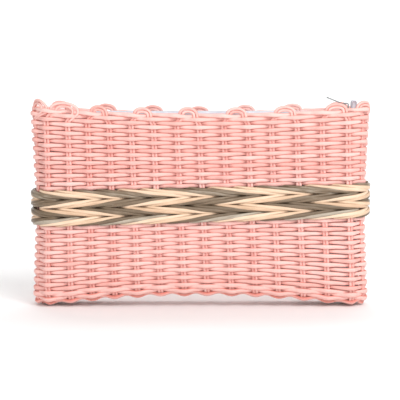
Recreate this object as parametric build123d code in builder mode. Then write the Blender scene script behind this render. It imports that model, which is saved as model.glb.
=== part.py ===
from build123d import *
from math import cos, pi, radians, sin, sqrt
import os

# ---- driving dimensions, mm; +Z up, front panel faces -Y, zip runs along X ----
HALF_WIDTH = 138.5  # half the woven width at the chevron band, outside the cords
# height, half the thickness there, and how much wider than HALF_WIDTH the pouch is there
SECTIONS = [
    (-12, 18.5, 2.5),
    (12, 19.5, 2.5),
    (38, 21.3, 1.3),
    (66, 22.0, 0.0),
    (98, 20.8, 0.0),
    (130, 18.3, 1.5),
    (160, 16.6, 3.2),
    (190, 16.2, 3.8),
]
WALL = 8.0  # woven wall: outer float, stake and inner float
PANEL_STAKES = 14
STAKE_PITCH = 19.17
STAKE_LEAN = 0.016  # the front stakes lean toward -X as they rise, more so toward +X
STAKE_CROWD = 3.2  # at the bottom, the middle front stakes stand this far toward -X
CROWD_PER_MM = 0.0317  # and this much further for each millimetre up
END_STAKE_ANGLE = 23.5  # the two stakes of each rounded end, each side of the X axis

BASE_ARCH = 7.4  # the middle of the bottom edge stands this far off the ground
BASE_FOOT_X = 118.0  # where the bottom edge reaches the ground
BASE_EDGE_R = 10.0
CORNER_R = 13.0
BASE_BAND = 9.0  # height of the cords that wrap under the bottom edge
BAND_BOTTOM = 71.9  # at the middle of the pouch, as is the top
BAND_BOTTOM_CLIMB = 0.03  # rise for each millimetre toward +X: the rods are pulled in tighter as they go
BAND_TOP = 100.0
BAND_TOP_CLIMB = 0.021
WALE_ROWS = 4
BAND_BULGE = 2.0
RIM_MID = 160.2
RIM_RISE = 5.6  # rim height gained from the middle to the ends
LOOP_CORD_R = 1.2
LOOP_SIZES = [(7.2, 3.7), (4.7, 1.2)]  # half width and height above the rim, outer and inner strand
LOOP_ROOT = 3.0
END_STRAND_OFF = 1.3  # an end loop's strand from its stake's centre
END_LOOP_SPRING = 1.1  # the end loops bend from this far below the rim

LINING_GAP = 0.2
LINING_THICK = 1.0
LINING_BELOW_RIM = 2.0

CHAIN_Z = 161.2
CHAIN_HALF = 122.0
TAPE_THICK = 0.6
TAPE_OUT = 7.1
TAPE_DOWN = 9.5
COIL_IN = 0.75
COIL_OUT = 2.2
COIL_HALF_HIGH = 0.7
COIL_CORNER = 0.5
STITCH_LONG = 3.2
STITCH_TALL = 0.5
STITCH_PITCH = 6.0
STITCH_THICK = 0.4
STITCH_END = 6.0  # the stitching stops this far from the ends of the chain

SLIDER_X = 119.5
SLIDER_LONG = 8.6
SLIDER_WIDE = 7.4
SLIDER_TAIL_WIDE = 6.4
PLATE_THICK = 0.85
PLATE_GAP = 1.05  # half the space between the slider's plates
FLANGE_IN = 2.6
FLANGE_Z = 0.7
FLANGE_SHORTER = 4.0
NOSE_LONG = 2.2
NOSE_SIDE = 1.6
POST_HALF = 0.38
POST_LONG = 2.0
POST_FROM_NOSE = 1.2
FUSE = 0.1  # posts and flanges run this far into the plates that they join
BRIDGE_HALF = 2.9
BRIDGE_TOP = 7.2
BRIDGE_THICK = 0.95
BRIDGE_WIDE = 1.8
BRIDGE_CORNER = 1.6
PIVOT_UP = 5.5
PIVOT_R = 0.5
TAB_LONG = 16.6
TAB_WIDE = 5.2
TAB_TIP_WIDE = 4.2
TAB_THICK = 0.9
TAB_CORNER = 1.4
TAB_ANGLE = 22.0  # rest angle above the chain, pointing to -X
TAB_HOLE_WIDE = 2.8
TAB_HOLE_END = 3.9
TAB_SHOULDER = 2.0  # the tab keeps its full width this far past its hole
TAB_EYE_R = 0.7
TAB_EYE_FROM_TIP = 2.6
STOP_LONG = 1.6
STOP_WALL = 0.6
STOP_CORNER = 0.5
TOP_STOP_TALL = 2.0
TOP_STOP_GAP = 0.1
TOP_STOP_ROUND = 0.4
BOTTOM_STOP_X = -119.5
BOTTOM_STOP_CUT = 0.02  # the slots for the tapes pass this far through the staple's sides
END_TAB_NEAR = CHAIN_HALF + 2.2
END_TAB_WIDE = 10.4
END_TAB_FLAT = 0.1  # flat left along the top and bottom of the fold
END_TABS = [("left", -1, 2.6, -4.6, 1.9), ("right", 1, 4.6, -2.0, 9.6)]  # thickness, lowest, highest

# cutting bodies reach past the pouch by these
Y_REACH = 60.0
Z_FAR = 185.0
Z_UNDER = -25.0
SIDE_MARGIN = 4.0
SLAB_MARGIN = 8.0
TROUGH_MARGIN = 12.0
TROUGH_FLARE = 8.0
TROUGH_FLARE_UP = 45.0
TROUGH_TALLER = 30.0
STRAIGHT = 1e-6  # an edge that bends less than this is a line


def section(z):
    """Half the thickness and half the width of the pouch at height z."""
    for (z0, r0, w0), (z1, r1, w1) in zip(SECTIONS, SECTIONS[1:]):
        if z <= z1:
            share = (z - z0) / (z1 - z0)
            return r0 + (r1 - r0) * share, HALF_WIDTH + w0 + (w1 - w0) * share
    return SECTIONS[-1][1], HALF_WIDTH + SECTIONS[-1][2]


def rim_z(x):
    return RIM_MID + RIM_RISE * (x / HALF_WIDTH) ** 2


def base_z(x):
    return BASE_ARCH * (1 - (x / BASE_FOOT_X) ** 2)


def band_edge(share):
    """The line across the band at this share of the way from its bottom to its top."""

    def height(x):
        bottom = BAND_BOTTOM + BAND_BOTTOM_CLIMB * x
        top = BAND_TOP + BAND_TOP_CLIMB * x
        return bottom + (top - bottom) * share

    return height


def stake_x(i, z, face):
    """Where stake i of a panel crosses height z; the front panel's stakes lean and crowd toward -X."""
    last = PANEL_STAKES - 1
    x = STAKE_PITCH * (i - last / 2)
    if face > 0:
        return x
    lean = STAKE_LEAN * z * (0.5 + i / last)
    crowd = (STAKE_CROWD + CROWD_PER_MM * z) * (1 - (2 * i / last - 1) ** 2)
    return x - lean - crowd


def mid_wall_y(x, z):
    radius, half_width = section(z)
    past = max(0.0, abs(x) - (half_width - radius))
    return sqrt((radius - WALL / 2) ** 2 - past**2)


def edge_through(curve, reach, up):
    """A line or shallow arc over the whole width, following curve(x) at its middle and ends."""
    left, middle, right = (curve(x) + up for x in (-reach, 0, reach))
    if abs(left + right - 2 * middle) < STRAIGHT:
        return Line((-reach, left), (reach, right))
    return ThreePointArc((-reach, left), (0, middle), (reach, right))


def pouch(inset):
    """The closed body of the pouch, its outer surface moved inward by inset."""
    with BuildPart() as body:
        for z, radius, wider in SECTIONS:
            with BuildSketch(Plane.XY.offset(z)):
                SlotOverall(2 * (HALF_WIDTH + wider - inset), 2 * (radius - inset))
        loft()
        with BuildSketch(Plane.XZ):
            with BuildLine():
                edge = section(CORNER_R)[1]
                side = edge + BAND_BULGE + SIDE_MARGIN - inset
                foot = edge - CORNER_R
                low = inset
                Line((-side, Z_FAR), (-side, CORNER_R))
                Line((-side, CORNER_R), (-edge + inset, CORNER_R))
                TangentArc((-edge + inset, CORNER_R), (-foot, low), tangent=(0, -1))
                Line((-foot, low), (-BASE_FOOT_X, low))
                ThreePointArc((-BASE_FOOT_X, low), (0, BASE_ARCH + low), (BASE_FOOT_X, low))
                Line((BASE_FOOT_X, low), (foot, low))
                TangentArc((foot, low), (edge - inset, CORNER_R), tangent=(1, 0))
                Line((edge - inset, CORNER_R), (side, CORNER_R))
                Line((side, CORNER_R), (side, Z_FAR))
                Line((side, Z_FAR), (-side, Z_FAR))
            make_face()
        extrude(amount=Y_REACH, both=True, mode=Mode.INTERSECT)
    return body.part


def underside(inset):
    """A long trough with rounded lower edges that follows the arched bottom edge."""
    reach = HALF_WIDTH + TROUGH_MARGIN
    flare_z = BASE_EDGE_R + TROUGH_FLARE_UP
    top = Z_FAR + TROUGH_TALLER
    with BuildPart() as trough:
        with BuildLine():
            arch = ThreePointArc(
                (-reach, 0, base_z(reach)), (0, 0, BASE_ARCH), (reach, 0, base_z(reach))
            )
        with BuildSketch(Plane(origin=arch @ 0, x_dir=(0, 1, 0), z_dir=arch % 0)):
            with BuildLine():
                flat = SECTIONS[1][1] - BASE_EDGE_R
                edge = SECTIONS[1][1] - inset
                flare = edge + TROUGH_FLARE
                Line((-flat, inset), (flat, inset))
                TangentArc((flat, inset), (edge, BASE_EDGE_R), tangent=(1, 0))
                Line((edge, BASE_EDGE_R), (flare, flare_z))
                Line((flare, flare_z), (flare, top))
                Line((flare, top), (-flare, top))
                Line((-flare, top), (-flare, flare_z))
                Line((-flare, flare_z), (-edge, BASE_EDGE_R))
                TangentArc((-edge, BASE_EDGE_R), (-flat, inset), tangent=(0, -1))
            make_face()
        sweep()
    return trough.part


def envelope(inset):
    with BuildPart() as body:
        add(pouch(inset))
        add(underside(inset), mode=Mode.INTERSECT)
    return body.part


def shell(outer, inner):
    with BuildPart() as skin:
        add(outer)
        add(inner, mode=Mode.SUBTRACT)
    return skin.part


def slab(low, high):
    """Everything between two edge curves, each given as (curve, height above it)."""
    reach = HALF_WIDTH + SLAB_MARGIN
    with BuildPart() as layer:
        with BuildSketch(Plane.XZ):
            with BuildLine():
                bottom = edge_through(low[0], reach, low[1])
                top = edge_through(high[0], reach, high[1])
                Line(bottom @ 0, top @ 0)
                Line(bottom @ 1, top @ 1)
            make_face()
        extrude(amount=Y_REACH, both=True)
    return layer.part


def level(x):
    return 0.0


def loop_path(feet, rise):
    """The bend of one strand over the rim, from foot to foot."""
    (x0, y0), (x1, y1) = feet
    crown = (rim_z(x0) + rim_z(x1)) / 2 + rise
    return Spline(
        (x0, y0, rim_z(x0) - LOOP_ROOT),
        ((x0 + x1) / 2, (y0 + y1) / 2, crown),
        (x1, y1, rim_z(x1) - LOOP_ROOT),
        tangents=[(0, 0, 1), (0, 0, -1)],
    )


def panel_loop(label, first, face):
    """Two concentric strands that bend over the rim from one stake to the next."""
    middle = (stake_x(first, RIM_MID, face) + stake_x(first + 1, RIM_MID, face)) / 2
    with BuildPart() as piece:
        for half, rise in LOOP_SIZES:
            feet = []
            for foot_x in (middle - half, middle + half):
                feet.append((foot_x, face * mid_wall_y(foot_x, rim_z(foot_x))))
            with BuildLine():
                bend = loop_path(feet, rise)
            with BuildSketch(Plane(origin=bend @ 0, z_dir=bend % 0)):
                Circle(LOOP_CORD_R)
            sweep()
    piece.part.label = label
    return piece.part


def end_loop(label, side):
    """Two concentric strands that bend over the rim of a rounded end."""
    with BuildPart() as piece:
        radius, half_width = section(rim_z(HALF_WIDTH))
        middle_r = radius - WALL / 2
        foot_x = side * (half_width - radius + middle_r * cos(radians(END_STAKE_ANGLE)))
        half = middle_r * sin(radians(END_STAKE_ANGLE))
        root_z = rim_z(foot_x) - LOOP_ROOT
        spring_z = rim_z(foot_x) - END_LOOP_SPRING
        for reach in (half + END_STRAND_OFF, half - END_STRAND_OFF):
            with BuildLine():
                leg = Line((foot_x, -reach, root_z), (foot_x, -reach, spring_z))
                crown = (foot_x, 0, spring_z + reach)
                ThreePointArc((foot_x, -reach, spring_z), crown, (foot_x, reach, spring_z))
                Line((foot_x, reach, spring_z), (foot_x, reach, root_z))
            with BuildSketch(Plane(origin=leg @ 0, z_dir=leg % 0)):
                Circle(LOOP_CORD_R)
            sweep()
    piece.part.label = label
    return piece.part


def woven_piece(label, walls, region):
    with BuildPart() as piece:
        add(walls)
        add(region, mode=Mode.INTERSECT)
    piece.part.label = label
    return piece.part


def lining_panel(label, face, skin):
    with BuildPart() as panel:
        add(skin)
        add(slab((level, Z_UNDER), (rim_z, -LINING_BELOW_RIM)), mode=Mode.INTERSECT)
        with BuildSketch(Plane.XZ):
            Rectangle(4 * HALF_WIDTH, 4 * HALF_WIDTH)
        extrude(amount=face * Y_REACH, mode=Mode.SUBTRACT)
    panel.part.label = label
    return panel.part


def zip_tape(label, face):
    with BuildPart() as tape:
        with BuildSketch(Plane.YZ.offset(-CHAIN_HALF)):
            with Locations((face * (COIL_OUT + TAPE_OUT) / 2, CHAIN_Z)):
                Rectangle(TAPE_OUT - COIL_OUT, TAPE_THICK)
            with Locations((face * (TAPE_OUT - TAPE_THICK / 2), CHAIN_Z + TAPE_THICK / 2 - TAPE_DOWN / 2)):
                Rectangle(TAPE_THICK, TAPE_DOWN)
        extrude(amount=2 * CHAIN_HALF)
    tape.part.label = label
    return tape.part


def zip_coil(label, face):
    with BuildPart() as coil:
        with BuildSketch(Plane.YZ.offset(-CHAIN_HALF)):
            with Locations((face * (COIL_IN + COIL_OUT) / 2, CHAIN_Z)):
                RectangleRounded(COIL_OUT - COIL_IN, 2 * COIL_HALF_HIGH, COIL_CORNER)
        extrude(amount=2 * CHAIN_HALF)
    coil.part.label = label
    return coil.part


def stitch_row(label, face):
    count = int(2 * (CHAIN_HALF - STITCH_END) / STITCH_PITCH)
    inner = TAPE_OUT - TAPE_THICK - STITCH_THICK / 2
    with BuildPart() as row:
        for k in range(count + 1):
            x = (k - count / 2) * STITCH_PITCH
            with Locations((x, face * inner, CHAIN_Z - TAPE_DOWN / 2)):
                Box(STITCH_LONG, STITCH_THICK, STITCH_TALL)
    row.part.label = label
    return row.part


def top_stop(label, face):
    x = CHAIN_HALF + TOP_STOP_GAP + STOP_LONG / 2
    with BuildPart() as piece:
        with Locations((x, face * (COIL_IN + COIL_OUT) / 2, CHAIN_Z)):
            Box(STOP_LONG, COIL_OUT - COIL_IN + STOP_WALL, TOP_STOP_TALL)
        fillet(piece.edges().filter_by(Axis.Y), TOP_STOP_ROUND)
    piece.part.label = label
    return piece.part


def bottom_stop(label):
    """A staple that clasps both coils at the closed end."""
    wide = 2 * (COIL_OUT + STOP_WALL)
    with BuildPart() as piece:
        with BuildSketch(Plane.YZ.offset(BOTTOM_STOP_X - STOP_LONG / 2)):
            with Locations((0, CHAIN_Z)):
                RectangleRounded(wide, 2 * (COIL_HALF_HIGH + STOP_WALL), STOP_CORNER)
            with Locations((0, CHAIN_Z)):
                Rectangle(2 * COIL_OUT, 2 * COIL_HALF_HIGH, mode=Mode.SUBTRACT)
            for face in (-1, 1):
                with Locations((face * (COIL_OUT + STOP_WALL / 2), CHAIN_Z)):
                    Rectangle(STOP_WALL + BOTTOM_STOP_CUT, TAPE_THICK, mode=Mode.SUBTRACT)
        extrude(amount=STOP_LONG)
    piece.part.label = label
    return piece.part


def end_tab(label, side, thick, low, high):
    """The folded cloth that closes the end of the tapes."""
    with BuildPart() as piece:
        with BuildSketch(Plane.XZ.offset(-END_TAB_WIDE / 2)):
            with Locations((side * (END_TAB_NEAR + thick / 2), CHAIN_Z + (low + high) / 2)):
                RectangleRounded(thick, high - low, thick / 2 - END_TAB_FLAT)
        extrude(amount=END_TAB_WIDE)
    piece.part.label = label
    return piece.part


def slider_outline():
    """The slider's plate seen from above, widest near its nose."""
    nose = SLIDER_X + SLIDER_LONG / 2
    tail = SLIDER_X - SLIDER_LONG / 2
    half = SLIDER_WIDE / 2
    Polyline(
        (tail, -SLIDER_TAIL_WIDE / 2),
        (nose - NOSE_LONG, -half),
        (nose, -half + NOSE_SIDE),
        (nose, half - NOSE_SIDE),
        (nose - NOSE_LONG, half),
        (tail, SLIDER_TAIL_WIDE / 2),
        close=True,
    )


def slider_body(label):
    flange_y = (FLANGE_IN + SLIDER_TAIL_WIDE / 2) / 2
    flange_z = (FLANGE_Z + PLATE_GAP + FUSE) / 2
    with BuildPart() as piece:
        for low in (PLATE_GAP, -PLATE_GAP - PLATE_THICK):
            with BuildSketch(Plane.XY.offset(CHAIN_Z + low)):
                with BuildLine():
                    slider_outline()
                make_face()
            extrude(amount=PLATE_THICK)
        for face in (-1, 1):
            for up in (-1, 1):
                with Locations((SLIDER_X, face * flange_y, CHAIN_Z + up * flange_z)):
                    Box(
                        SLIDER_LONG - FLANGE_SHORTER,
                        SLIDER_TAIL_WIDE / 2 - FLANGE_IN,
                        PLATE_GAP + FUSE - FLANGE_Z,
                    )
        with Locations((SLIDER_X + SLIDER_LONG / 2 - POST_FROM_NOSE, 0, CHAIN_Z)):
            Box(POST_LONG, 2 * POST_HALF, 2 * (PLATE_GAP + FUSE))
    piece.part.label = label
    return piece.part


def slider_bridge(label):
    foot = CHAIN_Z + PLATE_GAP + PLATE_THICK
    top = CHAIN_Z + BRIDGE_TOP
    with BuildPart() as piece:
        with BuildSketch(Plane.XZ.offset(-BRIDGE_WIDE / 2)) as arch:
            with Locations((SLIDER_X, (foot + top) / 2)):
                Rectangle(2 * BRIDGE_HALF, top - foot)
            fillet(arch.vertices().group_by(Axis.Y)[-1], BRIDGE_CORNER)
            with Locations((SLIDER_X, (foot + top - BRIDGE_THICK) / 2)):
                Rectangle(2 * (BRIDGE_HALF - BRIDGE_THICK), top - foot - BRIDGE_THICK, mode=Mode.SUBTRACT)
        extrude(amount=BRIDGE_WIDE)
    piece.part.label = label
    return piece.part


def pull_tab(label):
    """A flat tab whose round end bar turns under the slider's bridge."""
    with BuildPart() as piece:
        with BuildSketch():
            with BuildLine():
                Polyline(
                    (0, -TAB_WIDE / 2),
                    (0, TAB_WIDE / 2),
                    (-TAB_HOLE_END - TAB_SHOULDER, TAB_WIDE / 2),
                    (-TAB_LONG + TAB_CORNER, TAB_TIP_WIDE / 2),
                    (-TAB_LONG, TAB_TIP_WIDE / 2 - TAB_CORNER),
                    (-TAB_LONG, -TAB_TIP_WIDE / 2 + TAB_CORNER),
                    (-TAB_LONG + TAB_CORNER, -TAB_TIP_WIDE / 2),
                    (-TAB_HOLE_END - TAB_SHOULDER, -TAB_WIDE / 2),
                    close=True,
                )
            make_face()
            with Locations((-TAB_HOLE_END / 2, 0)):
                Rectangle(TAB_HOLE_END, TAB_HOLE_WIDE, mode=Mode.SUBTRACT)
            with Locations((-TAB_LONG + TAB_EYE_FROM_TIP, 0)):
                Circle(TAB_EYE_R, mode=Mode.SUBTRACT)
        extrude(amount=TAB_THICK / 2, both=True)
        with BuildSketch(Plane.XZ):
            Circle(PIVOT_R)
        extrude(amount=TAB_WIDE / 2, both=True)
    turned = piece.part.rotate(Axis.Y, TAB_ANGLE).moved(Location((SLIDER_X, 0, CHAIN_Z + PIVOT_UP)))
    turned.label = label
    return turned


def save(part):
    export_step(part, f"parts/{part.label}.step")


os.makedirs("parts", exist_ok=True)

inner_space = envelope(WALL)
plain_wall = shell(envelope(0), inner_space)
band_wall = shell(envelope(-BAND_BULGE), inner_space)

for k in range(PANEL_STAKES // 2):
    save(panel_loop(f"front_rim_loop_{k + 1}", 2 * k, -1))
    save(panel_loop(f"back_rim_loop_{k + 1}", 2 * k, 1))
save(end_loop("left_rim_loop", -1))
save(end_loop("right_rim_loop", 1))

save(woven_piece("base_weave", plain_wall, slab((level, Z_UNDER), (base_z, BASE_BAND))))
save(woven_piece("lower_weave", plain_wall, slab((base_z, BASE_BAND), (band_edge(0), 0))))
save(woven_piece("upper_weave", plain_wall, slab((band_edge(1), 0), (rim_z, 0))))
for k in range(WALE_ROWS):
    layer = slab((band_edge(k / WALE_ROWS), 0), (band_edge((k + 1) / WALE_ROWS), 0))
    save(woven_piece(f"wale_row_{k + 1}", band_wall, layer))

lining_skin = shell(envelope(WALL + LINING_GAP), envelope(WALL + LINING_GAP + LINING_THICK))
for name, face in (("front", -1), ("back", 1)):
    save(lining_panel(f"{name}_lining", face, lining_skin))
    save(zip_tape(f"{name}_zip_tape", face))
    save(zip_coil(f"{name}_zip_coil", face))
    save(stitch_row(f"{name}_tape_stitches", face))
    save(top_stop(f"{name}_top_stop", face))
save(bottom_stop("bottom_stop"))
for name, side, thick, low, high in END_TABS:
    save(end_tab(f"{name}_end_tab", side, thick, low, high))
save(slider_body("slider_body"))
save(slider_bridge("slider_bridge"))
save(pull_tab("pull_tab"))
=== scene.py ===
import math

import bpy
import numpy as np
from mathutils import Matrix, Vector


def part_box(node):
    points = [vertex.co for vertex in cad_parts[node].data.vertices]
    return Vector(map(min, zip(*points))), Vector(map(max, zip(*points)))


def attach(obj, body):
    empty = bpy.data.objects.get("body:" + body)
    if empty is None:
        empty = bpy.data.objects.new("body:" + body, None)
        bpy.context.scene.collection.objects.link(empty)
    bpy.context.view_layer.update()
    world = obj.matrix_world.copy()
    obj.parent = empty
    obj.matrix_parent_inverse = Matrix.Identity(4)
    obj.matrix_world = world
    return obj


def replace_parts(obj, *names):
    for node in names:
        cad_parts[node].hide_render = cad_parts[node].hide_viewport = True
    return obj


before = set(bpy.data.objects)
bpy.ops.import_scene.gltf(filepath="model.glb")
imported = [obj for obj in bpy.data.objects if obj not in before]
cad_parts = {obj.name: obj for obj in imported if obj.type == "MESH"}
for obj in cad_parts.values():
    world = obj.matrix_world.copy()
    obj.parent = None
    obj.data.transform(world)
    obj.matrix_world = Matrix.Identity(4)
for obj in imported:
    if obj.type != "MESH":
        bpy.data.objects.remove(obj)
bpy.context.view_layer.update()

# ---- driving dimensions, mm, in the shared frame ----
MM = 0.001
HALF_WIDTH = 138.5  # half the woven width at the chevron band, outside the cords
# height, half the thickness there, and how much wider than HALF_WIDTH the pouch is there
SECTIONS = [
    (-12, 18.5, 2.5),
    (12, 19.5, 2.5),
    (38, 21.3, 1.3),
    (66, 22.0, 0.0),
    (98, 20.8, 0.0),
    (130, 18.3, 1.5),
    (160, 16.6, 3.2),
    (190, 16.2, 3.8),
]
SECTION_Z, SECTION_R, SECTION_WIDER = zip(*SECTIONS)
NOMINAL_Z = 83  # distances along the wall are measured at this height
WALL = 8.0  # woven wall: outer float, stake and inner float
LEAST_END_R = 0.3  # the rounded ends never get tighter than this, however far in they are
PANEL_STAKES = 14
END_STAKES = 2
STAKES = 2 * (PANEL_STAKES + END_STAKES)
STAKE_PITCH = 19.17
END_STAKE_ANGLE = math.radians(23.5)  # the two stakes of each rounded end, each side of the X axis
STAKE_LEAN = 0.016  # the front stakes lean toward -X as they rise, more so toward +X
STAKE_CROWD = 3.2  # at the bottom, the middle front stakes stand this far toward -X
CROWD_PER_MM = 0.0317  # and this much further for each millimetre up
STAKE_DRIFT = 0.5  # a stake stands up to this far off its even place
SWAY_FADE = 3  # stakes past the front over which its lean and crowding die away
STRAND_OFF = 1.2  # strand centre from its stake's centre
STRAND_HALF = (1.3, 1.2)  # along the wall, through it
LOOP_CORD_HALF = 1.2  # over the rim, where the strands are round

BASE_ARCH = 7.4
BASE_FOOT_X = 118.0
EDGE_R = 6.0  # bend of the wall's middle under the bottom edge
FLOOR_UP = 4.5  # the wall's middle surface on the underside is this far above the outside
BAND_BOTTOM = 71.9  # at the middle of the pouch, as is the top
BAND_BOTTOM_CLIMB = 0.03  # rise for each millimetre toward +X
BAND_TOP = 100.0
BAND_TOP_CLIMB = 0.021
WALE_ROWS = 4
RIM_MID = 160.2
RIM_RISE = 5.6

FLOAT_OUT = 2.3  # a weaving cord's middle stands this far out over a stake
FLOAT_IN = 1.9  # and this far in behind the next, where the cords are pressed together
UPPER_ROWS = 19
LOWER_ROWS = 17
EDGE_ROWS = 3
EDGE_TALLER = 1.1  # the cords of the bottom edge are this many times as tall as the others
UNDERSIDE_ROWS = 2
UNDERSIDE_PITCH = 3.3
END_KEPT = 0.7  # share of the turned-in edge's narrowing that the rounded ends don't take
CORD_TALL = 1.6  # half the cord, along the wall's height
CORD_SWELL = 0.28  # added to that where the cord passes over a stake
CORD_THICK = 1.3  # half the cord, through the wall
CORD_WANDER_OUT = 0.22
CORD_WANDER_UP = 0.3
CORD_SQUARE = 0.75  # below 1, the cords' section is squarer than round
TOP_ROW_DIP = 1.0  # the top row is pressed down this far inside each rim loop
PER_STAKE = 12  # points of a cord's path from one stake to the next
SIDES = 12  # points round a cord
WANDER_WAVES = (2, 14)  # waves in the whole ring: at least the first, fewer than the second
WANDER_SHARE = (0.3, 1)
WANDER_PHASE = 6.28
FIRST_Z = 80.0  # the wall's height before it is settled
SETTLE = 3  # rounds in which height and place along the wall settle against each other

coil_low, coil_high = (np.array(c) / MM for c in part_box("front_zip_coil"))
CHAIN_Z = (coil_low[2] + coil_high[2]) / 2
CHAIN_HALF = coil_high[0]
rng = np.random.default_rng(12)


def radius(z):
    return np.interp(z, SECTION_Z, SECTION_R)


def half_width(z):
    return HALF_WIDTH + np.interp(z, SECTION_Z, SECTION_WIDER)


def rim(x):
    return RIM_MID + RIM_RISE * (x / HALF_WIDTH) ** 2


def base(x):
    return np.maximum(0.0, BASE_ARCH * (1 - (x / BASE_FOOT_X) ** 2))


NOMINAL_R = float(radius(NOMINAL_Z)) - WALL / 2
NOMINAL_A = HALF_WIDTH - float(radius(NOMINAL_Z))
NOMINAL_P = 4 * NOMINAL_A + 2 * math.pi * NOMINAL_R


def stations():
    """Distance along the wall, from the middle of the front, of every stake; closed by the first again."""
    first = STAKE_PITCH * (PANEL_STAKES - 1) / 2
    front = [-first + STAKE_PITCH * i for i in range(PANEL_STAKES)]
    end = NOMINAL_A + math.pi * NOMINAL_R / 2
    turn = END_STAKE_ANGLE * NOMINAL_R
    right = [end - turn, end + turn]
    back = [NOMINAL_P / 2 + x for x in front]
    left = [NOMINAL_P / 2 + x for x in right]
    drift = [rng.uniform(-STAKE_DRIFT, STAKE_DRIFT) for _ in range(STAKES)]
    placed = [s + d for s, d in zip(front + right + back + left, drift)]
    return np.array(placed + [placed[0] + NOMINAL_P])


STATION = stations()


def along(q):
    """Station number, which may be fractional and wraps, to distance along the wall."""
    q = np.asarray(q, float)
    turns = np.floor(q / STAKES)
    return np.interp(q - turns * STAKES, np.arange(STAKES + 1), STATION) + turns * NOMINAL_P


def sway(q, z):
    """How far the stakes stand from their even places at height z: the front ones lean and crowd."""
    q = np.mod(q, STAKES)
    last = PANEL_STAKES - 1
    front = np.where(q > (last + STAKES) / 2, 0, np.minimum(q, last))
    lean = STAKE_LEAN * z * (0.5 + front / last)
    crowd = (STAKE_CROWD + CROWD_PER_MM * z) * (1 - (2 * front / last - 1) ** 2)
    fade_at = [0, last, last + SWAY_FADE, STAKES - SWAY_FADE, STAKES]
    return -(lean + crowd) * np.interp(q, fade_at, [1, 1, 0, 0, 1])


def ring(s, z, inset=0.0, longer=0.0):
    """Point and outward normal at distance s along the wall's middle surface.

    inset moves it inward; longer gives the rounded ends back some of the length that this costs.
    """
    r0 = radius(z) - WALL / 2
    a = half_width(z) - radius(z)
    p = 4 * a + 2 * math.pi * r0
    s = s * p / NOMINAL_P
    s = np.mod(s + p / 2, p) - p / 2
    side = np.where(s < 0, -1.0, 1.0)
    d = np.abs(s)
    rm = np.maximum(r0 - inset, LEAST_END_R)
    angle = np.clip((d - a) / r0, 0, math.pi) - math.pi / 2
    past = np.maximum(d - a - math.pi * r0, 0)
    x = side * (np.minimum(d, a) - past + (rm + longer) * np.cos(angle) * (d > a))
    y = rm * np.sin(angle)
    nx = side * np.cos(angle)
    ny = np.sin(angle)
    return x, y, nx, ny


def wall(q, height, off=0.0, shift=0.0, inset=0.0, tilt=0.0):
    """Points on the wall at station q, and their normals.

    height(x) gives z, off is outward, shift is along the wall, and tilt turns the normal down.
    """
    z = np.full(np.shape(q), FIRST_Z)
    longer = END_KEPT * min(inset, EDGE_R) if tilt else 0.0
    for _ in range(SETTLE):
        s = along(q) + sway(q, z) + shift
        x, y, nx, ny = ring(s, z, inset, longer)
        z = height(x) + 0 * x
    c, sn = np.cos(tilt), np.sin(tilt)
    n = np.stack([nx * c, ny * c, -sn * np.ones_like(nx)], -1)
    p = np.stack([x, y, z], -1)
    return p + n * np.asarray(off)[..., None] * np.ones_like(n), n


def band_bottom(x):
    return BAND_BOTTOM + BAND_BOTTOM_CLIMB * x


def band_top(x):
    return BAND_TOP + BAND_TOP_CLIMB * x


def band(share):
    """Height in the band, at this share of the way from its bottom to its top."""
    return lambda x: band_bottom(x) * (1 - share) + band_top(x) * share


def upper(v):
    """Height in the upper wall, from the band at 0 to the rim at 1."""
    return lambda x: band_top(x) * (1 - v) + rim(x) * v


def lower(v):
    """Height in the lower wall, from the bend of its bottom edge at 0 to the band at 1."""
    return lambda x: (base(x) + FLOOR_UP + EDGE_R) * (1 - v) + band_bottom(x) * v


def under(up):
    """Height this far above the underside's middle surface."""
    return lambda x: base(x) + FLOOR_UP + up


def edge(turn):
    """Height above the underside and inset from the wall, at this angle round the bottom edge."""
    return EDGE_R * (1 - math.sin(turn)), EDGE_R * (1 - math.cos(turn))


def wobble(q, size, waves=4):
    """A slow random wander that closes over the whole ring."""
    out = np.zeros_like(q)
    for _ in range(waves):
        k = rng.integers(*WANDER_WAVES)
        wave = np.sin(2 * math.pi * k * q / STAKES + rng.uniform(0, WANDER_PHASE))
        out += wave * rng.uniform(*WANDER_SHARE)
    return size * out / waves


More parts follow.
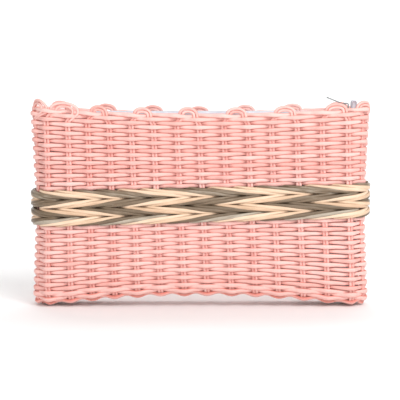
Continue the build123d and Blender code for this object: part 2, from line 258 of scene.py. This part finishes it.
# ---- mesh making ----
class Cords:
    """Collects tubes into one mesh, with their own length, turn and tone as attributes."""

    def __init__(self):
        self.points, self.faces, self.uvw, self.tones, self.count = [], [], [], [], 0

    def tube(self, path, normal, tall, thick, closed=False, tone=0.5, sides=SIDES, square=1.0):
        n = len(path)
        if closed:
            tangent = np.roll(path, -1, 0) - np.roll(path, 1, 0)
        else:
            tangent = np.gradient(path, axis=0)
        tangent /= np.linalg.norm(tangent, axis=1)[:, None]
        across = np.cross(tangent, normal)
        across /= np.maximum(np.linalg.norm(across, axis=1)[:, None], 1e-9)
        out = np.cross(across, tangent)
        step = np.linalg.norm(np.diff(path, axis=0), axis=1)
        length = np.concatenate([[0], np.cumsum(step)])
        turn = np.arange(sides) * 2 * math.pi / sides
        up = np.sign(np.cos(turn)) * np.abs(np.cos(turn)) ** square
        proud = np.sign(np.sin(turn)) * np.abs(np.sin(turn)) ** square
        tall = (tall * np.ones(n))[:, None, None]
        thick = (thick * np.ones(n))[:, None, None]
        body = (
            path[:, None]
            + across[:, None] * tall * up[None, :, None]
            + out[:, None] * thick * proud[None, :, None]
        )
        uvw = np.empty((n, sides, 3))
        uvw[..., 0] = length[:, None] * MM
        uvw[..., 1] = np.cos(turn)
        uvw[..., 2] = np.sin(turn)
        start = self.count
        i, j = np.meshgrid(np.arange(n if closed else n - 1), np.arange(sides), indexing="ij")
        i2, j2 = (i + 1) % n, (j + 1) % sides
        quads = np.stack([i * sides + j, i2 * sides + j, i2 * sides + j2, i * sides + j2], -1).reshape(-1, 4)
        self.points.append(body.reshape(-1, 3))
        self.uvw.append(uvw.reshape(-1, 3))
        self.tones.append(np.full(n * sides, tone))
        self.faces += (quads + start).tolist()
        if not closed:
            self.faces.append([start + k for k in range(sides)][::-1])
            self.faces.append([start + (n - 1) * sides + k for k in range(sides)])
        self.count += n * sides

    def build(self, name, material, body="pouch"):
        mesh = bpy.data.meshes.new(name)
        points = np.concatenate(self.points) * MM
        mesh.from_pydata(points.tolist(), [], self.faces)
        mesh.attributes.new("cord", "FLOAT_VECTOR", "POINT").data.foreach_set(
            "vector", np.concatenate(self.uvw).astype(np.float32).ravel()
        )
        mesh.attributes.new("tone", "FLOAT", "POINT").data.foreach_set(
            "value", np.concatenate(self.tones).astype(np.float32)
        )
        return finish_mesh(name, mesh, material, body)


def finish_mesh(name, mesh, material, body):
    mesh.validate()
    for poly in mesh.polygons:
        poly.use_smooth = True
    mesh.materials.append(material)
    obj = bpy.data.objects.new(name, mesh)
    bpy.context.scene.collection.objects.link(obj)
    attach(obj, body)
    return obj


def grid_mesh(name, points, material, body="pouch", thick=0.5):
    """A sheet through rows and columns of points, given a small thickness."""
    rows, cols = points.shape[:2]
    faces = []
    for i in range(rows - 1):
        for j in range(cols - 1):
            faces.append([i * cols + j, i * cols + j + 1, (i + 1) * cols + j + 1, (i + 1) * cols + j])
    mesh = bpy.data.meshes.new(name)
    mesh.from_pydata((points.reshape(-1, 3) * MM).tolist(), [], faces)
    obj = finish_mesh(name, mesh, material, body)
    solid = obj.modifiers.new("thickness", "SOLIDIFY")
    solid.thickness = thick * MM
    solid.offset = 0.0
    return obj


# ---- materials ----
def srgb(r, g, b):
    def f(c):
        c /= 255
        return c / 12.92 if c <= 0.04045 else ((c + 0.055) / 1.055) ** 2.4

    return (f(r), f(g), f(b), 1.0)


def new_material(name):
    mat = bpy.data.materials.new(name)
    mat.use_nodes = True
    nodes, links = mat.node_tree.nodes, mat.node_tree.links
    return mat, nodes, links, nodes["Principled BSDF"]


def plastic_cord(name, dark, mid, light, rough, edge):
    """Extruded plastic cord: slow shifts of tone along it, painted shade darkening its edges where it meets
    its neighbours, fine drawn lines.
    """
    mat, nodes, links, bsdf = new_material(name)
    place = nodes.new("ShaderNodeAttribute")
    place.attribute_name = "cord"
    tone = nodes.new("ShaderNodeAttribute")
    tone.attribute_name = "tone"
    stretch = nodes.new("ShaderNodeMapping")
    stretch.inputs["Scale"].default_value = (90, 0.9, 0.9)
    links.new(place.outputs["Vector"], stretch.inputs["Vector"])
    shift = nodes.new("ShaderNodeCombineXYZ")
    times = nodes.new("ShaderNodeMath")
    times.operation = "MULTIPLY"
    times.inputs[1].default_value = 37.0
    links.new(tone.outputs["Fac"], times.inputs[0])
    links.new(times.outputs[0], shift.inputs["X"])
    links.new(shift.outputs[0], stretch.inputs["Location"])
    slow = nodes.new("ShaderNodeTexNoise")
    slow.inputs["Scale"].default_value = 1.0
    slow.inputs["Detail"].default_value = 3.0
    links.new(stretch.outputs[0], slow.inputs["Vector"])
    mix = nodes.new("ShaderNodeMath")
    mix.operation = "MULTIPLY_ADD"
    mix.inputs[1].default_value = 0.55
    half = nodes.new("ShaderNodeMath")
    half.operation = "MULTIPLY"
    half.inputs[1].default_value = 0.45
    links.new(tone.outputs["Fac"], half.inputs[0])
    links.new(slow.outputs["Fac"], mix.inputs[0])
    links.new(half.outputs[0], mix.inputs[2])
    ramp = nodes.new("ShaderNodeValToRGB")
    ramp.color_ramp.elements[0].position = 0.22
    ramp.color_ramp.elements[0].color = dark
    ramp.color_ramp.elements[1].position = 0.8
    ramp.color_ramp.elements[1].color = light
    middle = ramp.color_ramp.elements.new(0.5)
    middle.color = mid
    links.new(mix.outputs[0], ramp.inputs["Fac"])
    # painted shade: near the cord's upper and lower edges its colour is multiplied by the edge colour,
    # standing in for the shade between cords
    across = nodes.new("ShaderNodeSeparateXYZ")
    links.new(place.outputs["Vector"], across.inputs[0])
    side = nodes.new("ShaderNodeMath")
    side.operation = "ABSOLUTE"
    links.new(across.outputs["Y"], side.inputs[0])
    painted_edge_shade = nodes.new("ShaderNodeMapRange")
    painted_edge_shade.inputs["From Min"].default_value = 0.62
    painted_edge_shade.inputs["To Max"].default_value = 0.85
    painted_edge_shade.interpolation_type = "SMOOTHSTEP"
    links.new(side.outputs[0], painted_edge_shade.inputs["Value"])
    painted_shade_tint = nodes.new("ShaderNodeMix")
    painted_shade_tint.data_type = "RGBA"
    painted_shade_tint.blend_type = "MULTIPLY"
    links.new(painted_edge_shade.outputs["Result"], painted_shade_tint.inputs["Factor"])
    links.new(ramp.outputs["Color"], painted_shade_tint.inputs["A"])
    painted_shade_tint.inputs["B"].default_value = edge
    links.new(painted_shade_tint.outputs["Result"], bsdf.inputs["Base Color"])
    lines = nodes.new("ShaderNodeMapping")
    lines.inputs["Scale"].default_value = (120, 7, 7)
    links.new(place.outputs["Vector"], lines.inputs["Vector"])
    fine = nodes.new("ShaderNodeTexNoise")
    fine.inputs["Scale"].default_value = 1.0
    fine.inputs["Detail"].default_value = 2.0
    links.new(lines.outputs[0], fine.inputs["Vector"])
    bump = nodes.new("ShaderNodeBump")
    bump.inputs["Strength"].default_value = 0.22
    bump.inputs["Distance"].default_value = 0.00012
    links.new(fine.outputs["Fac"], bump.inputs["Height"])
    links.new(bump.outputs["Normal"], bsdf.inputs["Normal"])
    gloss = nodes.new("ShaderNodeMapRange")
    gloss.inputs["To Min"].default_value = rough - 0.07
    gloss.inputs["To Max"].default_value = rough + 0.09
    links.new(fine.outputs["Fac"], gloss.inputs["Value"])
    links.new(gloss.outputs["Result"], bsdf.inputs["Roughness"])
    bsdf.inputs["IOR"].default_value = 1.46
    bsdf.inputs["Specular IOR Level"].default_value = 0.45
    return mat


def cloth(name, shade, light, threads, strength):
    """Woven cloth: two crossed sets of threads in the bump and a faint slub in the colour."""
    mat, nodes, links, bsdf = new_material(name)
    where = nodes.new("ShaderNodeTexCoord")
    waves = []
    for axis in ("X", "Z"):
        wave = nodes.new("ShaderNodeTexWave")
        wave.bands_direction = axis
        wave.inputs["Scale"].default_value = threads
        wave.inputs["Distortion"].default_value = 0.6
        links.new(where.outputs["Object"], wave.inputs["Vector"])
        waves.append(wave)
    cross = nodes.new("ShaderNodeMath")
    cross.operation = "MULTIPLY"
    links.new(waves[0].outputs["Fac"], cross.inputs[0])
    links.new(waves[1].outputs["Fac"], cross.inputs[1])
    slub = nodes.new("ShaderNodeTexNoise")
    slub.inputs["Scale"].default_value = 140
    slub.inputs["Detail"].default_value = 4
    links.new(where.outputs["Object"], slub.inputs["Vector"])
    ramp = nodes.new("ShaderNodeValToRGB")
    ramp.color_ramp.elements[0].position = 0.3
    ramp.color_ramp.elements[0].color = shade
    ramp.color_ramp.elements[1].position = 0.7
    ramp.color_ramp.elements[1].color = light
    links.new(slub.outputs["Fac"], ramp.inputs["Fac"])
    links.new(ramp.outputs["Color"], bsdf.inputs["Base Color"])
    bump = nodes.new("ShaderNodeBump")
    bump.inputs["Strength"].default_value = strength
    bump.inputs["Distance"].default_value = 0.0001
    links.new(cross.outputs[0], bump.inputs["Height"])
    links.new(bump.outputs["Normal"], bsdf.inputs["Normal"])
    bsdf.inputs["Roughness"].default_value = 0.85
    bsdf.inputs["Sheen Weight"].default_value = 0.2
    return mat


def metal(name, dark, light):
    """Plated zinc: fine brushed lines and small roughness changes."""
    mat, nodes, links, bsdf = new_material(name)
    where = nodes.new("ShaderNodeTexCoord")
    stretch = nodes.new("ShaderNodeMapping")
    stretch.inputs["Scale"].default_value = (160, 2400, 700)
    links.new(where.outputs["Object"], stretch.inputs["Vector"])
    noise = nodes.new("ShaderNodeTexNoise")
    noise.inputs["Scale"].default_value = 1.0
    noise.inputs["Detail"].default_value = 3
    links.new(stretch.outputs[0], noise.inputs["Vector"])
    ramp = nodes.new("ShaderNodeValToRGB")
    ramp.color_ramp.elements[0].color = dark
    ramp.color_ramp.elements[1].color = light
    links.new(noise.outputs["Fac"], ramp.inputs["Fac"])
    links.new(ramp.outputs["Color"], bsdf.inputs["Base Color"])
    rough = nodes.new("ShaderNodeMapRange")
    rough.inputs["To Min"].default_value = 0.22
    rough.inputs["To Max"].default_value = 0.4
    links.new(noise.outputs["Fac"], rough.inputs["Value"])
    links.new(rough.outputs["Result"], bsdf.inputs["Roughness"])
    bump = nodes.new("ShaderNodeBump")
    bump.inputs["Strength"].default_value = 0.1
    bump.inputs["Distance"].default_value = 0.00005
    links.new(noise.outputs["Fac"], bump.inputs["Height"])
    links.new(bump.outputs["Normal"], bsdf.inputs["Normal"])
    bsdf.inputs["Metallic"].default_value = 1.0
    bsdf.inputs["Specular Tint"].default_value = (0.42, 0.42, 0.43, 1)
    return mat


# what each colour is multiplied by at the edges of its cords: painted shade between neighbouring cords, a
# deeper red on the pink
PINK_PAINTED_SHADE = (0.88, 0.5, 0.44, 1)
ROD_PAINTED_SHADE = (0.4, 0.32, 0.27, 1)
NYLON_PAINTED_SHADE = (0.8, 0.8, 0.82, 1)
PINK = (srgb(236, 174, 164), srgb(245, 192, 183), srgb(250, 206, 198))
# the taupe's pale-grey light end paints highlight streaks into the slow tone noise, beside the rods' own
# random tone changes
TAUPE_AND_PAINTED_SHEEN = (srgb(102, 85, 66), srgb(130, 111, 90), srgb(194, 182, 165))
CREAM = (srgb(212, 176, 144), srgb(232, 200, 170), srgb(246, 220, 194))
NYLON = (srgb(206, 206, 214), srgb(222, 222, 228), srgb(236, 236, 240))
pink = plastic_cord("pink_cord", *PINK, 0.5, PINK_PAINTED_SHADE)
taupe = plastic_cord("taupe_cord", *TAUPE_AND_PAINTED_SHEEN, 0.34, ROD_PAINTED_SHADE)
cream = plastic_cord("cream_cord", *CREAM, 0.4, ROD_PAINTED_SHADE)
lining_cloth = cloth("white_cotton", srgb(222, 223, 230), srgb(240, 241, 247), 900, 0.5)
tape_cloth = cloth("zip_tape_cloth", srgb(204, 204, 213), srgb(224, 224, 232), 1500, 0.6)
thread = cloth("white_thread", srgb(222, 222, 228), srgb(244, 244, 246), 2600, 0.8)
nylon = plastic_cord("nylon_coil", *NYLON, 0.35, NYLON_PAINTED_SHADE)
nickel = metal("nickel", (0.2, 0.205, 0.21, 1), (0.33, 0.34, 0.34, 1))

# ---- the weave ----
q_ring = np.arange(STAKES * PER_STAKE) / PER_STAKE


def weave_row(cords, parity, height, inset=0.0, tilt=0.0, taller=1.0, dip=0.0):
    """One cord right round the pouch, over the stakes of this parity and behind the others."""
    wave = np.cos(math.pi * (q_ring + parity))
    over, behind = np.maximum(wave, 0) ** 2, np.maximum(-wave, 0) ** 3
    off = FLOAT_OUT * over - FLOAT_IN * behind + wobble(q_ring, CORD_WANDER_OUT)
    lift = wobble(q_ring, CORD_WANDER_UP) - dip * np.maximum(0, np.sin(math.pi * q_ring))
    path, normal = wall(q_ring, lambda x: height(x) + lift, off=off, inset=inset, tilt=tilt)
    tall = (CORD_TALL + CORD_SWELL * over) * taller
    cords.tube(path, normal, tall, CORD_THICK, closed=True, tone=rng.uniform(0, 1), square=CORD_SQUARE)


upper_weave = Cords()
for j in range(UPPER_ROWS):
    dip = TOP_ROW_DIP if j == UPPER_ROWS - 1 else 0.0
    weave_row(upper_weave, (UPPER_ROWS - 1 - j) % 2, upper((j + 0.5) / UPPER_ROWS), dip=dip)
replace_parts(upper_weave.build("upper_weave_cords", pink), "upper_weave")

lower_weave = Cords()
for j in range(LOWER_ROWS):
    weave_row(lower_weave, j % 2, lower((j + 0.5) / LOWER_ROWS))
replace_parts(lower_weave.build("lower_weave_cords", pink), "lower_weave")

base_weave = Cords()
for j in range(EDGE_ROWS + 1):
    turn = (math.pi / 2) * j / EDGE_ROWS
    up, inset = edge(turn)
    weave_row(base_weave, (j + 1) % 2, under(up), inset=inset, tilt=turn, taller=EDGE_TALLER)
for j in range(1, UNDERSIDE_ROWS + 1):
    inset = EDGE_R + UNDERSIDE_PITCH * j
    weave_row(base_weave, (EDGE_ROWS + 1 + j) % 2, under(0.0), inset=inset, tilt=math.pi / 2)
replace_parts(base_weave.build("base_weave_cords", pink), "base_weave")

# ---- the chevron band: four rows of four-rod wale ----
BAND_OUT = 1.2  # the stakes stand this far out where they pass through the band
RODS = 4  # in a row; each takes as many stakes for one float and one turn behind
ROD_BEHIND = 0.5  # half its turn behind, in stakes
ROD_DIVE = (0.1, 0.6)  # from the middle of that turn: where it starts to come out, and over how far
ROD_FRONT = 5.0
ROD_BOW = 2.0  # a rod's ends lie this much deeper than its middle, under the rods beside it
ROD_BACK = -1.9
ROD_CLIMB = 3.3  # half of what a float rises or falls
ROD_PHASE = 1.0
ROD_TALL = 1.75
ROD_TAPER = 0.5  # a float's tips are this share of its height
ROD_TIP = 0.2
ROD_THICK = 1.5
ROD_SQUARE = 0.85
ROD_WANDER = 0.15


def smooth(x):
    x = np.clip(x, 0, 1)
    return x * x * (3 - 2 * x)


def wale_rod(cords, row, k):
    """Rod k of a row: it slants over its float in front and climbs back behind one stake."""
    direction = 1 if row % 2 else -1  # from the bottom row up the rods slant "/", "\", "/", "\"
    p = np.mod(q_ring - k - ROD_PHASE, RODS)
    near = np.minimum(p, RODS - p)
    float_long = RODS - 2 * ROD_BEHIND
    front = ROD_FRONT - ROD_BOW * ((p - RODS / 2) / (float_long / 2)) ** 2
    off = ROD_BACK + (front - ROD_BACK) * smooth((near - ROD_DIVE[0]) / ROD_DIVE[1])
    falling = 1 - 2 * (p - ROD_BEHIND) / float_long
    back = np.where(p < ROD_BEHIND, p + RODS, p)
    rising = -1 + 2 * smooth(back - (RODS - ROD_BEHIND))
    climb = np.where((p < ROD_BEHIND) | (p > RODS - ROD_BEHIND), rising, falling)
    lift = direction * ROD_CLIMB * climb + wobble(q_ring, ROD_WANDER)
    centre = band((row + 0.5) / WALE_ROWS)
    path, normal = wall(q_ring, lambda x: centre(x) + lift, off=off)
    full = ROD_TAPER + (1 - ROD_TAPER) * np.sin(math.pi * np.clip((p - ROD_TIP) / (RODS - 2 * ROD_TIP), 0, 1))
    tone = rng.uniform(0, 1)
    cords.tube(path, normal, ROD_TALL * full, ROD_THICK, closed=True, tone=tone, square=ROD_SQUARE)


for row in range(WALE_ROWS):
    taupe_rods, cream_rods = Cords(), Cords()
    for k in range(RODS):
        wale_rod(taupe_rods if k < RODS // 2 else cream_rods, row, k)
    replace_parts(taupe_rods.build(f"wale_row_{row + 1}_taupe", taupe), f"wale_row_{row + 1}")
    cream_rods.build(f"wale_row_{row + 1}_cream", cream)

# ---- stakes and the loops they make over the rim ----
UNDER_R_Z = 10  # the underside is as deep as the wall is at this height
BAND_LEAD = 0.15  # share of the lower wall over which a strand comes out for the band
BAND_LEAVE = 0.1  # share of the upper wall over which it goes back in
OFF_LEAD = (0.86, 0.08)  # shares of the upper wall: where it starts to move out for its loop, over how much
SHIFT_LEAD = (0.84, 0.13)  # and the same for moving sideways
LEG_TOP_OFF = (-0.6, 1.1)  # how far out the strand is at the foot of its loop, rising and coming down
ARCH_OFF = (-0.5, 1.7)  # the loop itself starts this far out, and gains this much
ARCH_CROSS = (0.35, 0.6)  # shares of the loop: where it starts to cross outward, over how much
ARCH_FOOT = 1.2  # below the rim
ARCH_FULL = 0.85  # below 1, the loop is fuller than a half ellipse
ROUND_LATE = 12  # the higher, the nearer the rim a strand becomes round

def leg(station, shift, top_off, top_shift):
    """One strand from the middle of the underside up its wall to just under the rim."""
    q = np.array([float(station)])
    parts = []
    reach = float(radius(UNDER_R_Z)) - WALL / 2 - EDGE_R
    for f in np.linspace(0.98, 0.0, 4):
        parts.append(wall(q, under(0.0), shift=shift, inset=EDGE_R + reach * f, tilt=math.pi / 2))
    for turn in np.linspace(math.pi / 2, 0, 6)[1:]:
        up, inset = edge(turn)
        parts.append(wall(q, under(up), shift=shift, inset=inset, tilt=turn))
    for v in np.linspace(0.04, 1, 16):
        off = BAND_OUT * smooth((v - (1 - BAND_LEAD)) / BAND_LEAD)
        parts.append(wall(q, lower(v), off=off, shift=shift))
    for v in np.linspace(0.25, 0.75, 3):
        parts.append(wall(q, band(v), off=BAND_OUT, shift=shift))
    for v in np.linspace(0, 0.95, 20):
        off = BAND_OUT * smooth(1 - v / BAND_LEAVE) + top_off * smooth((v - OFF_LEAD[0]) / OFF_LEAD[1])
        move = shift + (top_shift - shift) * smooth((v - SHIFT_LEAD[0]) / SHIFT_LEAD[1])
        parts.append(wall(q, upper(v), off=off, shift=move))
    points = np.concatenate([p for p, _ in parts])
    normals = np.concatenate([n for _, n in parts])
    return points, normals


def loop_cord(cords, first, outside, half, rise, shape, tone):
    """One cord: up a stake, over the rim in a loop, and down the next stake."""
    step = STRAND_OFF * (1 if outside else -1)
    s0, s1 = float(along(first)), float(along(first + 1))
    middle = (s0 + s1) / 2 + shape["skew"]
    left, right = middle - half - s0, middle + half - s1
    up, up_n = leg(first, -step, LEG_TOP_OFF[0], left)
    down, down_n = leg(first + 1, step, LEG_TOP_OFF[1], right)
    turn = np.linspace(math.pi, 0, 15)
    share = (1 + np.cos(turn)) / 2
    q = first + share
    shift = middle + half * np.cos(turn) - along(q)
    lift = rise * np.sin(turn) ** ARCH_FULL
    outward = ARCH_OFF[0] + ARCH_OFF[1] * smooth((share - ARCH_CROSS[0]) / ARCH_CROSS[1])
    off = outward - shape["inward"] * np.sin(turn)
    arch, arch_n = wall(q, lambda x: rim(x) - ARCH_FOOT + lift, off=off, shift=shift)
    path = np.concatenate([up, arch, down[::-1]])
    normal = np.concatenate([up_n, arch_n, down_n[::-1]])
    near_rim = np.linspace(0, 1, len(up)) ** ROUND_LATE
    rim_share = np.concatenate([near_rim, np.ones(len(arch)), near_rim[::-1]])
    tall = STRAND_HALF[0] + (LOOP_CORD_HALF - STRAND_HALF[0]) * rim_share
    thick = STRAND_HALF[1] + (LOOP_CORD_HALF - STRAND_HALF[1]) * rim_share
    cords.tube(path, normal, tall, thick, tone=tone)


LOOP_HALF = (7.2, 4.7)  # half the width of a loop's outer strand and of its inner one
LOOP_RISE = (4.9, 2.4)
LOOP_UNEVEN = (-0.5, 0.7)  # a loop is up to this much lower or higher than its shape says
COMMON_LOOP = dict(wide=1.0, skew=0.9, higher=0.0, inward=0.0)
ODD_LOOPS = {
    "front_rim_loop_1": dict(wide=1.74, skew=6.5, higher=1.0, inward=0.0),
    "left_rim_loop": dict(wide=1.35, skew=10.0, higher=1.6, inward=1.5),
    "right_rim_loop": dict(wide=1.1, skew=-6.0, higher=0.6, inward=1.5),
}
loops = []
for k in range(PANEL_STAKES // 2):
    loops.append((f"front_rim_loop_{k + 1}", 2 * k))
    loops.append((f"back_rim_loop_{PANEL_STAKES // 2 - k}", PANEL_STAKES + END_STAKES + 2 * k))
loops.append(("right_rim_loop", PANEL_STAKES))
loops.append(("left_rim_loop", 2 * PANEL_STAKES + END_STAKES))
for name, first in loops:
    cords = Cords()
    shape = ODD_LOOPS.get(name, COMMON_LOOP)
    higher = shape["higher"] + rng.uniform(*LOOP_UNEVEN)
    for outside, half, rise in zip((True, False), LOOP_HALF, LOOP_RISE):
        tone = rng.uniform(0, 1)
        loop_cord(cords, first, outside, half * shape["wide"], rise + higher, shape, tone)
    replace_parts(cords.build(name + "_cords", pink), name)

# ---- lining, zip tapes and coils ----
LINING_INSET = 5.0
LINING_BELOW_RIM = 2.5
LINING_FIRST_Z = 100.0
LINING_FLOOR_Z = 14.0  # the lining's floor is as deep as the pouch is at this height
LINING_WAVE = 0.25
TAPE_THICK = 0.45
TAPE_RIPPLE = 0.18
COIL_PITCH = 1.25
COIL_MIDDLE = 1.45  # from the middle of the chain
COIL_HALF = (0.6, 0.45)
COIL_WIRE = (0.24, 0.3)
STITCHES = 40
STITCH_PITCH = 5.8
STITCH_HALF = 1.6
STITCH_OUT = 6.62
STITCH_BOW = 0.3
STITCH_DOWN = 4.6  # below the chain
STITCH_THREAD = (0.24, 0.2)


def lining(name, side):
    """Half of the lining, from the middle of its floor up one panel to just under the rim."""
    columns = 121
    half = NOMINAL_P / 4
    s = np.linspace(-half, half, columns) + (0 if side < 0 else NOMINAL_P / 2)
    rows = []
    for v in np.linspace(0, 1, 26):
        z = np.full(columns, LINING_FIRST_Z)
        for _ in range(SETTLE):
            x, y, nx, ny = ring(s, z, LINING_INSET)
            z = (base(x) + FLOOR_UP + EDGE_R) * (1 - v) + (rim(x) - LINING_BELOW_RIM) * v
        wave = LINING_WAVE * np.sin(s * 0.11 + 5 * v) * np.sin(3.1 * v * math.pi)
        rows.append(np.stack([x - nx * wave, y - ny * wave, z], -1))
    floor = []
    for f in np.linspace(0.0, 0.96, 5):
        x, y, nx, ny = ring(s, np.full(columns, LINING_FLOOR_Z), LINING_INSET)
        z = base(x) + FLOOR_UP + EDGE_R - 1.0 * f
        floor.append(np.stack([x * (1 - 0.03 * f), y * (1 - f), z], -1))
    points = np.array(floor[::-1] + rows[1:])
    obj = grid_mesh(name + "_lining_cloth", points, lining_cloth)
    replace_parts(obj, name + "_lining")
    return obj


def tape(name, side):
    """One zip tape: flat beside the chain, then turned down inside the lining."""
    columns = 100
    x = np.linspace(-CHAIN_HALF, CHAIN_HALF, columns)
    line = [(1.7, 0.0), (2.6, 0.05), (3.8, 0.1), (5.0, 0.0), (6.0, -0.5)]
    line += [(6.6, -1.4), (6.8, -3.0), (6.85, -6.0), (6.9, -9.0)]
    rows = []
    for y, dz in line:
        ripple = TAPE_RIPPLE * np.sin(x * 0.21 + 2 * y) * (abs(dz) > 0.3)
        rows.append(np.stack([x, side * (y + ripple), CHAIN_Z + dz + 0 * x], -1))
    obj = grid_mesh(name + "_zip_tape_cloth", np.array(rows), tape_cloth, thick=TAPE_THICK)
    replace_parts(obj, name + "_zip_tape")
    return obj


def coil(name, side):
    """One nylon coil of the chain, wound half a turn out of step with the other."""
    turns = int(2 * CHAIN_HALF / COIL_PITCH)
    t = np.arange(turns * 10) / 10
    phase = 2 * math.pi * t + (0 if side < 0 else math.pi)
    y = side * (COIL_MIDDLE + COIL_HALF[0] * np.cos(phase))
    z = CHAIN_Z + COIL_HALF[1] * np.sin(phase)
    path = np.stack([-CHAIN_HALF + COIL_PITCH * t, y, z], -1)
    normal = np.tile([1.0, 0.0, 0.0], (len(path), 1))
    cords = Cords()
    cords.tube(path, normal, *COIL_WIRE, tone=0.6, sides=6)
    obj = cords.build(name + "_zip_coil_nylon", nylon)
    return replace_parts(obj, name + "_zip_coil")


def stitches(name, side):
    """The row of stitches that holds one tape to the lining."""
    cords = Cords()
    bend = np.linspace(-1, 1, 7)
    for k in range(STITCHES):
        x = (k - (STITCHES - 1) / 2) * STITCH_PITCH
        y = side * (STITCH_OUT - STITCH_BOW * (1 - bend**2))
        path = np.stack([x + STITCH_HALF * bend, y, CHAIN_Z - STITCH_DOWN + 0 * bend], -1)
        cords.tube(path, np.tile([0.0, -side, 0.0], (len(bend), 1)), *STITCH_THREAD, tone=0.5, sides=6)
    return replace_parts(cords.build(name + "_tape_stitch_thread", thread), name + "_tape_stitches")


FOLD_FLATTER = 0.02  # the fold's top sinks this much for each square millimetre from its middle
FOLD_IN = 0.3  # the cloth's middle is this far inside its CAD box
FOLD_THICK = 0.5
FOLD_CREASE = 0.15


def folded_tab(name, side):
    """The tape ends, folded up over each other inside their CAD box."""
    low, high = (np.array(c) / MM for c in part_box(name + "_end_tab"))
    bend = (high[0] - low[0]) / 2 - FOLD_IN
    x0 = min(abs(low[0]), abs(high[0])) + FOLD_IN
    spring = high[2] - bend
    turn = np.linspace(0, math.pi, 11)
    line = [(x0, low[2]), (x0, (low[2] + spring) / 2)]
    line += [(x0 + bend - bend * math.cos(t), spring + bend * math.sin(t)) for t in turn]
    line += [(x0 + 2 * bend, (low[2] + spring) / 2), (x0 + 2 * bend, low[2])]
    y = np.linspace(low[1], high[1], 15)
    rows = []
    for x, z in line:
        crease = FOLD_CREASE * np.sin(y * 1.3 + z)
        rows.append(np.stack([side * (x + crease), y, z - FOLD_FLATTER * y * y * (z >= spring)], -1))
    obj = grid_mesh(name + "_end_tab_cloth", np.array(rows), tape_cloth, thick=FOLD_THICK)
    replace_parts(obj, name + "_end_tab")
    half_tall = (spring + 0.6 * bend - low[2]) / 2
    core = np.stack([0 * y + side * (x0 + bend), 0.97 * y, 0 * y + low[2] + half_tall], -1)
    layers = Cords()
    layers.tube(core, np.tile([1.0, 0.0, 0.0], (len(y), 1)), half_tall, bend - FOLD_IN, square=0.45)
    layers.build(name + "_end_tab_inner_layers", tape_cloth)
    return obj


for name, side in (("front", -1), ("back", 1)):
    lining(name, side)
    tape(name, side)
    coil(name, side)
    stitches(name, side)
folded_tab("left", -1)
folded_tab("right", 1)

for name in ("slider_body", "slider_bridge", "pull_tab", "front_top_stop", "back_top_stop", "bottom_stop"):
    node = bpy.data.objects[name]
    node.data.materials.clear()
    node.data.materials.append(nickel)

# ---- floor, lights and camera ----
floor_mat, nodes, links, bsdf = new_material("studio_paper")
grain = nodes.new("ShaderNodeTexNoise")
grain.inputs["Scale"].default_value = 60
paper = nodes.new("ShaderNodeValToRGB")
paper.color_ramp.elements[0].color = (0.88, 0.88, 0.88, 1)
paper.color_ramp.elements[1].color = (0.92, 0.92, 0.92, 1)
links.new(grain.outputs["Fac"], paper.inputs["Fac"])
links.new(paper.outputs["Color"], bsdf.inputs["Base Color"])
bsdf.inputs["Roughness"].default_value = 0.9

FLOOR_NEAR, FLOOR_FAR = -3.0, 1.2
SWEEP_R = 0.8
BACK_HIGH = 4.0
HALF_STUDIO = 4.0
profile = [(FLOOR_NEAR, 0.0), (FLOOR_FAR, 0.0)]
for t in np.linspace(0.1, math.pi / 2, 14):
    profile.append((FLOOR_FAR + SWEEP_R * math.sin(t), SWEEP_R - SWEEP_R * math.cos(t)))
profile.append((FLOOR_FAR + SWEEP_R, BACK_HIGH))
sweep = bpy.data.meshes.new("studio_sweep")
points = [(x, y, z) for y, z in profile for x in (-HALF_STUDIO, HALF_STUDIO)]
strips = [[2 * i, 2 * i + 1, 2 * i + 3, 2 * i + 2] for i in range(len(profile) - 1)]
sweep.from_pydata(points, [], strips)
for poly in sweep.polygons:
    poly.use_smooth = True
sweep.materials.append(floor_mat)
studio = bpy.data.objects.new("studio_sweep", sweep)
bpy.context.scene.collection.objects.link(studio)

world = bpy.data.worlds.new("studio")
world.use_nodes = True
world.node_tree.nodes["Background"].inputs["Color"].default_value = (1, 1, 1, 1)
world.node_tree.nodes["Background"].inputs["Strength"].default_value = 0.6
bpy.context.scene.world = world


def area_light(name, place, target, size, power):
    data = bpy.data.lights.new(name, "AREA")
    data.shape = "DISK"
    data.size = size
    data.energy = power
    obj = bpy.data.objects.new(name, data)
    obj.location = place
    obj.rotation_euler = (Vector(target) - Vector(place)).to_track_quat("-Z", "Y").to_euler()
    bpy.context.scene.collection.objects.link(obj)


middle = (0, 0, 0.08)
area_light("key", (0.7, -1.1, 1.25), middle, 1.0, 16)
area_light("fill", (0.1, -1.7, 0.7), middle, 1.2, 6.5)
area_light("backdrop", (0, 0.9, 1.7), (0, 1.9, 0.35), 1.5, 18)

ELEVATION = math.radians(7.0)
LENS = 150.0
VIEW_WIDE = 0.328  # metres across the view at the aim
camera_data = bpy.data.cameras.new("camera")
camera_data.lens = LENS
distance = LENS * VIEW_WIDE / camera_data.sensor_width
aim = Vector((-0.0004, -0.018, 0.0898))
camera = bpy.data.objects.new("camera", camera_data)
camera.location = aim + distance * Vector((0, -math.cos(ELEVATION), math.sin(ELEVATION)))
camera.rotation_euler = (math.pi / 2 - ELEVATION, 0, 0)
bpy.context.scene.collection.objects.link(camera)
bpy.context.scene.camera = camera
bpy.context.scene.view_settings.view_transform = "Standard"
